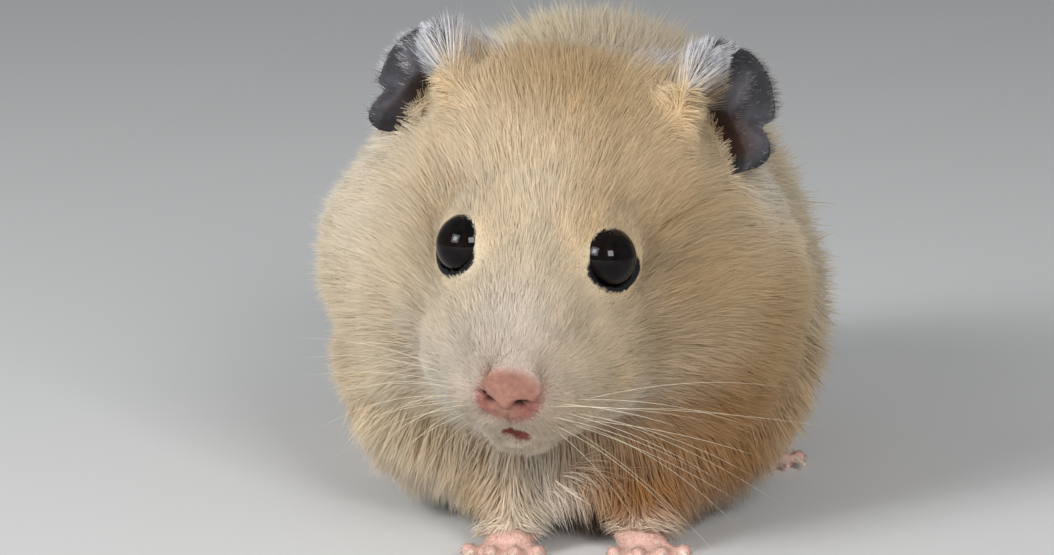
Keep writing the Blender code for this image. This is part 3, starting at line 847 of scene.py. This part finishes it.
HEAD_MIDDLE = (0.0, 14.0, -9.0)
AXIS_HEIGHT, LENGTH_PER_UNIT = 0.024, 0.03  # of the body's unwrap


def around_head(roots):
    """An unwrap of the head, by the two angles about its middle."""
    out = in_head(roots) - np.array(HEAD_MIDDLE)
    raised = np.arctan2(out[:, 2], np.hypot(out[:, 0], out[:, 1]))
    return np.column_stack((np.arctan2(out[:, 0], -out[:, 1]), raised))


def around_body(roots):
    """An unwrap of the body: the angle about its long axis, and the distance along it."""
    turn = np.arctan2(roots[:, 0], roots[:, 2] - AXIS_HEIGHT)
    return np.column_stack((turn, roots[:, 1] / LENGTH_PER_UNIT))


PATCH = 0.003  # a tuft's share of its map


def filling(unwrapped):
    """An unwrap scaled to fill its map, with room for a patch at the edges."""
    low, high = unwrapped.min(0), unwrapped.max(0)
    return PATCH + (unwrapped - low) / (high - low) * (1 - 2 * PATCH)


def gathered(paths, roots, every, strength, rows):
    """Draws each tuft's tip towards that of the nearest of a few, so that they lie in locks."""
    leaders = np.arange(0, len(roots), every)
    tree = KDTree(len(leaders))
    for number, leader in enumerate(leaders):
        tree.insert(roots[leader], number)
    tree.balance()
    follows = leaders[np.array([tree.find(root)[1] for root in roots])]
    return paths + strength * rows[None, :, None] ** 1.5 * (paths[follows] - paths)


def coat_material():
    """Hair in the mesh's own colours, with a soft sheen, that some light comes through."""
    made, nodes, links, shader = new_material(
        "cream coat", {"Roughness": 0.62, "Specular IOR Level": 0.25, "Sheen Weight": 0.15})
    tint = nodes.new("ShaderNodeAttribute")
    tint.attribute_name = "tint"
    through = nodes.new("ShaderNodeBsdfTranslucent")
    both = settle(nodes.new("ShaderNodeMixShader"), {"Fac": 0.42})
    links.new(tint.outputs["Color"], shader.inputs["Base Color"])
    links.new(tint.outputs["Color"], through.inputs["Color"])
    links.new(shader.outputs["BSDF"], both.inputs[1])
    links.new(through.outputs["BSDF"], both.inputs[2])
    links.new(both.outputs["Shader"], nodes["Material Output"].inputs["Surface"])
    return made


def shown(name, mesh, look):
    """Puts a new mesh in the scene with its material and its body."""
    made = bpy.data.objects.new(name, mesh)
    bpy.context.scene.collection.objects.link(made)
    made.data.materials.append(look)
    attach(made, "root")


coat_look = coat_material()
THIN = 1.0
TUFT_LIFT = 31.0  # degrees out of the skin at the root
ROOT_DEPTH, FLOOR_GAP = 0.15 * MM, 0.12 * MM
ROOT_SHADE, TIP_SHADE, TIP_WHITE = (0.93, 0.87, 0.77), 0.86, (1.0, 0.95, 0.86)


def coat_piece(name, chosen, count, width, unwrap, seed, rows=2, lock=6, gather=0.28, unruly=0.20,
               lift=TUFT_LIFT, lie=lie_of_coat, paint=markings, reach=None):
    """One piece of the coat, of tapering blades with the given width in millimetres and number of rows."""
    luck = np.random.default_rng(seed)
    count = int(count * THIN)
    roots, normals, length = planted(chosen, count, luck)
    if reach is not None:
        length = reach(roots)

    # Each tuft's way over the skin, its rise out of it and its path from root to tip
    way = lie(roots, normals)
    across = np.cross(way, normals)
    astray = luck.normal(0, unruly, count) + 0.16 * waves(roots / MM, 9.0, seed + 1)
    way = unit(way * np.cos(astray)[:, None] + across * np.sin(astray)[:, None])
    varied = 1 + luck.normal(0, 0.22, count) + 0.15 * waves(roots / MM, 5.0, seed + 2)
    lift = math.radians(lift) * np.clip(varied, 0.3, 1.8)
    length = length * MM * np.clip(luck.normal(1.0, 0.16, count), 0.5, 1.4)
    share = np.linspace(0.0, 1.0, rows + 1)
    bowed = 1.35 * share - 0.35 * share**2
    along = share[None, :, None] * (length * np.cos(lift))[:, None, None] * way[:, None, :]
    risen = bowed[None, :, None] * (length * np.sin(lift))[:, None, None] * normals[:, None, :]
    paths = roots[:, None, :] - ROOT_DEPTH * normals[:, None, :] + along + risen
    paths = gathered(paths, roots, lock, gather, share)
    paths[:, :, 2] = np.maximum(paths[:, :, 2], FLOOR_GAP)

    # The blade about the path, narrowing to a point
    across = unit(np.cross(way, normals))
    turn = luck.normal(0, 0.6, count)[:, None]
    across = across * np.cos(turn) + normals * np.sin(turn)
    profile = width * MM * np.sqrt(1 - share**1.6) * 0.5
    size = luck.uniform(0.75, 1.25, count)
    offset = profile[None, :, None] * size[:, None, None] * across[:, None, :]
    per = 2 * rows + 1
    verts = np.empty((count, per, 3))
    verts[:, 0 : 2 * rows : 2] = (paths - offset)[:, :rows]
    verts[:, 1 : 2 * rows : 2] = (paths + offset)[:, :rows]
    verts[:, -1] = paths[:, -1]

    # Its colour from darker root to paler tip, and the way its surface faces
    height = np.append(np.repeat(share[:rows], 2), 1.0)
    shade = 1 + luck.normal(0, 0.10, count) + 0.05 * waves(roots / MM, 4.0, seed + 3)
    base = paint(roots) * np.clip(shade, 0.6, 1.35)[:, None]
    root_tint = (base * np.array(ROOT_SHADE))[:, None, :]
    tip_tint = base * TIP_SHADE + np.array(TIP_WHITE) * 0.18 * ramp(base[:, 2], 0.05, 0.40)[:, None]
    blend = ramp(height, 0.05, 0.85)[None, :, None]
    colours = np.clip(root_tint * (1 - blend) + tip_tint[:, None, :] * blend, 0, 1)
    face_normal = unit(np.cross(across, way))
    face_normal *= np.sign((face_normal * normals).sum(1))[:, None]
    shading = unit(0.72 * normals + 0.28 * face_normal)

    mesh = bpy.data.meshes.new(name)
    quads = [(2 * row, 2 * row + 1, 2 * row + 3, 2 * row + 2) for row in range(rows - 1)]
    pattern = np.array([corner for quad in quads for corner in quad] + [per - 3, per - 2, per - 1])
    loops = (np.arange(count)[:, None] * per + pattern[None, :]).ravel()
    sizes = np.tile(np.array([4] * (rows - 1) + [3]), count)
    starts = np.concatenate(([0], np.cumsum(sizes)[:-1]))
    mesh.vertices.add(count * per)
    mesh.vertices.foreach_set("co", verts.astype(np.float32).ravel())
    mesh.loops.add(len(loops))
    mesh.loops.foreach_set("vertex_index", loops.astype(np.int32))
    mesh.polygons.add(len(sizes))
    mesh.polygons.foreach_set("loop_start", starts.astype(np.int32))
    mesh.update(calc_edges=True)
    stored(mesh, "tint", colours.reshape(-1, 3))
    unwrapped = filling(unwrap(roots))
    side = np.append(np.tile((-0.5, 0.5), rows), 0.0)
    spots = unwrapped[:, None, :] + PATCH * np.column_stack((side, height - 0.5))[None, :, :]
    layer = mesh.uv_layers.new(name="OFBake")
    layer.uv.foreach_set("vector", spots.reshape(-1, 2)[loops].astype(np.float32).ravel())
    mesh.normals_split_custom_set_from_vertices(np.repeat(shading, per, axis=0))
    shown(name, mesh, coat_look)


def parts(*names):
    """Which triangles of the skin are those pieces' own."""
    return np.isin(part_of, names)


on_head = parts("head", "muzzle", "nose", "lower_jaw")
on_muzzle = from_snout(middles) < 9
in_front = in_head(middles)[:, 1] < 6
crown = (parts("head") & ~in_front) | (parts(*EAR_PARTS) & ear_foot(middles))
coat_piece("coat_muzzle", on_head & on_muzzle, 54000, 0.062, around_head, 10, lock=4, gather=0.2, lift=25)
coat_piece("coat_face", on_head & ~on_muzzle & in_front, 66000, 0.08, around_head, 11,
           lock=5, gather=0.22, lift=26)
coat_piece("coat_crown", crown, 60000, 0.095, around_head, 12, lift=28)

# --- Coat of the cheeks -------------------------
# Longer and looser hair over the full pouches, which makes the head as wide as the body. It is grown on
# the skin as the coat of the face is, and sweeps back from the nose.
coat_piece("coat_cheek_left", parts("cheek_left"), 63000, 0.10, around_head, 13)
coat_piece("coat_cheek_right", parts("cheek_right"), 60000, 0.10, around_head, 14)

# --- Coat of the body ---------------------------
# The deepest and softest coat, over the chest, the flanks, the back and the rump. It lies back and down
# over the body, and hangs straight down over the chest and the forelegs.
on_left = middles[:, 0] >= 0
on_trunk = parts("trunk", "hindleg_left", "hindleg_right")


def lie_of_chest(roots, normals):
    """Down over the chest and the forelegs, and hanging where the skin faces down."""
    return laid(0.5 * lie_of_coat(roots, normals) + np.array((0.0, -0.2, -1.0)), normals, risen=0.55)


on_chest = parts("neck", "chest", "foreleg_left", "foreleg_right")
coat_piece("coat_chest", on_chest, 44000, 0.15, around_body, 15, lie=lie_of_chest)
coat_piece("coat_flank_left", on_trunk & on_left, 39000, 0.18, around_body, 16)
coat_piece("coat_flank_right", on_trunk & ~on_left, 39000, 0.18, around_body, 17)
coat_piece("coat_rump", parts("rump"), 29000, 0.21, around_body, 18)

# --- Coat of the feet and tail ------------------
# Very short white hair over the tops of the feet and the stub of the tail, thin enough to show the pink
# skin. It lies towards the toes, and towards the tip of the tail.
FOOT_WHITE = (0.80, 0.74, 0.66)
TAIL_FROM = cad_high[1] - 0.02


def lie_to_toes(roots, normals):
    """Forwards and a little down on the feet, and the other way on the tail."""
    way = unit(np.array((0.0, -1.0, -0.35)) + np.zeros_like(roots))
    return laid(way * np.where(roots[:, 1] > TAIL_FROM, -1, 1)[:, None], normals)


def foot_white(roots):
    """The same white all over."""
    return np.array(FOOT_WHITE) + np.zeros_like(roots)


coat_piece("coat_feet", parts(*FOOT_PARTS), 9000, 0.07, around_body, 19, lock=5, gather=0.2,
           lift=24, lie=lie_to_toes, paint=foot_white)

# --- Hair of the ears ---------------------------
# Longer white hair streaked with dark stands on the inner side of each ear and sweeps up and outwards.
# Sparse, short, fine hair covers the whole ear, and the thin charcoal skin shows through it.
WHITE_BELOW = {"left": 0.0, "right": 7.0}  # how much lower down the white starts
DOWN_LENGTH = 1.25
DOWN_GREY = {"left": np.array((0.22, 0.20, 0.205)), "right": np.array((0.42, 0.42, 0.45))}
EAR_WHITE, EAR_DARK, EAR_TAN = (0.70, 0.70, 0.75), (0.06, 0.048, 0.046), (0.50, 0.37, 0.235)


def ear_pieces(name):
    """The streaked hair and the fine hair of one ear."""
    side = EYE_SIDES[name]
    outward, rise, forward = in_ear(middles, name).T
    close = (np.abs(forward) < 7) & near_ear(middles, name)
    faces = (face_normals @ EAR_AXES[name][2]) > 0.15

    def sweep(roots, normals):
        """Up and outwards over the ear, and straight up its inner wall."""
        at = in_ear(roots, name)
        local = np.column_stack((0.55 + 0.05 * at[:, 1], 0.80 - 0.03 * at[:, 1], 0.15 + 0 * at[:, 0]))
        local = painted(local, (0.2, 1.0, 0.0), ramp(-normals @ EAR_AXES[name][0], 0.25, 0.7))
        return laid(unit(local @ EAR_AXES[name]), normals, risen=0.5, sunk=0.9)

    def long_hair(roots):
        """Longest on the inner side, and shorter towards the top and at the foot."""
        at = in_ear(roots, name)
        long = (2.2 + 3.6 * ramp(-at[:, 0], 0.0, 6.0)) * (1 - 0.55 * ramp(at[:, 1], -1.0, 5.0))
        return long * (1 - 0.55 * ramp(-at[:, 0], 4.5, 8.0) * ramp(-at[:, 1], -2.0, 3.0))

    def streaked(roots):
        """White with dark streaks, tan lower down, and the coat's own colour at the foot."""
        at = in_ear(roots, name)
        above = at[:, 1] - 1.08 * at[:, 0] + WHITE_BELOW[name]
        patchy = waves(roots / MM, 1.6, 71 + int(side)) + 0.35 * waves(roots / MM, 0.45, 73)
        streak = ramp(patchy + 0.9 * (1 - ramp(above, 4.0, 8.5)), 0.45, 0.8)
        streak *= np.maximum(ramp(at[:, 0], -6.0, -3.5), ramp(at[:, 1], -1.0, 2.0))
        tan = 1 - ramp(above, 3.5, 6.5) * ramp(at[:, 1], -5.0, -1.5)
        colour = painted(painted(np.array(EAR_WHITE), EAR_TAN, tan), EAR_DARK, 0.85 * streak)
        coat = (1 - ramp(at[:, 0], -6.6, -4.6)) * (1 - ramp(at[:, 1], -1.0, 1.5))
        return painted(colour, markings(roots), np.maximum(coat, 1 - ramp(at[:, 1], -6.5, -4.5)))

    inner = close & (faces | (outward < -2.5)) & (outward > -10.5) & (rise > -9)
    inner &= outward < -1.6 + 0.15 * rise + 3.0 * ramp(-rise, 0.0, 3.0)
    inner &= ~(ear_foot(middles) & (rise < -1.0))
    coat_piece(f"ear_hair_{name}", inner, 6000, 0.08, around_head, 30 + int(side), rows=4, lock=9,
               gather=0.4, unruly=0.12, lift=20, lie=sweep, paint=streaked, reach=long_hair)

    def across_ear(roots, normals):
        """Outwards and a little up."""
        way = unit(np.array((0.9, 0.35, 0.1)) + np.zeros_like(roots)) @ EAR_AXES[name]
        return laid(way, normals, risen=0.8, sunk=0.8)

    def fine(roots):
        """The same short length all over."""
        return DOWN_LENGTH + 0 * roots[:, 0]

    def greyish(roots):
        """A grey that varies."""
        return DOWN_GREY[name] * np.clip(1 + 0.8 * waves(roots / MM, 0.5, 75), 0.2, 2)[:, None]

    outer = close & (part_of == f"ear_{name}")
    coat_piece(f"ear_down_{name}", outer, 4200, 0.038, around_head, 40 + int(side), lock=5, gather=0.2,
               unruly=0.3, lift=13, lie=across_ear, paint=greyish, reach=fine)


face_normals = unit(np.cross(edge_a, edge_b))
for name in EYE_SIDES:
    ear_pieces(name)

# --- Whiskers -----------------------------------
# Stiff, pale hairs in four rows of four on each side of the muzzle. They sweep out and back, and droop
# with their own weight. Each is a closed tube, rooted in the skin and tapering almost to nothing.
WHISKER_THICK = 0.066  # millimetres at the root
WHISKER_ROWS = WHISKERS_PER_ROW = 4
WHISKER_SIDES, WHISKER_STEPS = 5, 11
WHISKER_FIRST, WHISKER_APART = (4.4, -9.4), (1.05, -1.4)  # sideways and up from the nose's middle
WHISKER_ROOT, WHISKER_CLEAR = 0.3, 0.4  # into the skin, and over the floor
RIGHT_SHORTER = 0.72
whisker_luck = np.random.default_rng(50)
skin_tree = BVHTree.FromPolygons([Vector(p) for p in places], corners.tolist())


def whisker_path(root, way, long, droop):
    """A whisker from the skin outwards, bending down along its length."""
    along = np.linspace(0.0, 1.0, WHISKER_STEPS)[:, None]
    return root + way * along * long * MM + np.array((0.0, 0.25, -1.0)) * (along**2.2) * droop * MM


def tube_rings(path, thick):
    """Rings of a tapering tube about a path."""
    along = unit(np.gradient(path, axis=0))
    side = unit(np.cross(along, (0.0, 0.0, 1.0)))
    other = np.cross(side, along)
    turn = (np.arange(WHISKER_SIDES) * 2 * math.pi / WHISKER_SIDES)[None, :, None]
    wide = (thick * MM / 2 * np.sqrt(1 - 0.97 * np.linspace(0, 1, len(path))))[:, None, None]
    return path[:, None, :] + wide * (side[:, None, :] * np.cos(turn) + other[:, None, :] * np.sin(turn))


verts, faces = [], []
for name, side in EYE_SIDES.items():
    for row in range(WHISKER_ROWS):
        for column in range(WHISKERS_PER_ROW):
            height = WHISKER_FIRST[1] + WHISKER_APART[1] * row + whisker_luck.normal(0, 0.2)
            sideways = WHISKER_FIRST[0] + WHISKER_APART[0] * column + whisker_luck.normal(0, 0.2)
            start = from_head(NOSE_MIDDLE + side * sideways, -40, height)
            root = skin_tree.ray_cast(start, head_axes @ Vector((0, 1, 0)))[0]
            aside = Vector((side, -0.30 + 0.17 * column, 0.24 - 0.24 * row))
            way = np.array((head_axes @ aside).normalized()) + whisker_luck.normal(0, 0.09, 3)
            long = (whisker_luck.uniform(13, 20) + 2.6 * column) * (1.0 if side > 0 else RIGHT_SHORTER)
            droop = whisker_luck.uniform(1.5, 5.0) + 0.5 * row
            path = whisker_path(np.array(root) - way * WHISKER_ROOT * MM, way, long, droop)
            path[:, 2] = np.maximum(path[:, 2], WHISKER_CLEAR * MM)
            first, last = len(verts), len(verts) + (WHISKER_STEPS - 1) * WHISKER_SIDES
            rings = tube_rings(path, WHISKER_THICK * whisker_luck.uniform(0.7, 1.05))
            verts += [tuple(v) for v in rings.reshape(-1, 3)]
            for low in range(first, last, WHISKER_SIDES):
                for k in range(WHISKER_SIDES):
                    k_next, high = (k + 1) % WHISKER_SIDES, low + WHISKER_SIDES
                    faces.append((low + k, low + k_next, high + k_next, high + k))
            faces.append(tuple(first + k for k in reversed(range(WHISKER_SIDES))))
            faces.append(tuple(last + k for k in range(WHISKER_SIDES)))
mesh = bpy.data.meshes.new("whiskers")
mesh.from_pydata(verts, [], faces)
mesh.polygons.foreach_set("use_smooth", [True] * len(mesh.polygons))
pale_whisker = grained_material(
    "pale whisker", {"Roughness": 0.35}, 160.0, ((0.0, (0.50, 0.40, 0.25)), (1.0, (0.80, 0.73, 0.58))))
shown("whiskers", mesh, pale_whisker)

# --- Claws --------------------------------------
# Small pale claws of horn with a faint grain, four on each forefoot and five on each hind foot. They are
# the frame's own pieces, and each stands out of the tip of its toe.
claw_settings = {
    "Roughness": 0.32, "Subsurface Weight": 0.25, "Subsurface Radius": (0.001, 0.0006, 0.0004),
}
claw_horn = grained_material(
    "pale claw horn", claw_settings, 1400.0,
    ((0.3, (0.55, 0.36, 0.27)), (0.7, (0.80, 0.70, 0.58))), detail=3.0)
for name, node in frame["nodes"].items():
    if "claw" in name:
        for held in node.material_slots:
            held.material = claw_horn

# --- Size ---------------------------------------
low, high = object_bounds()
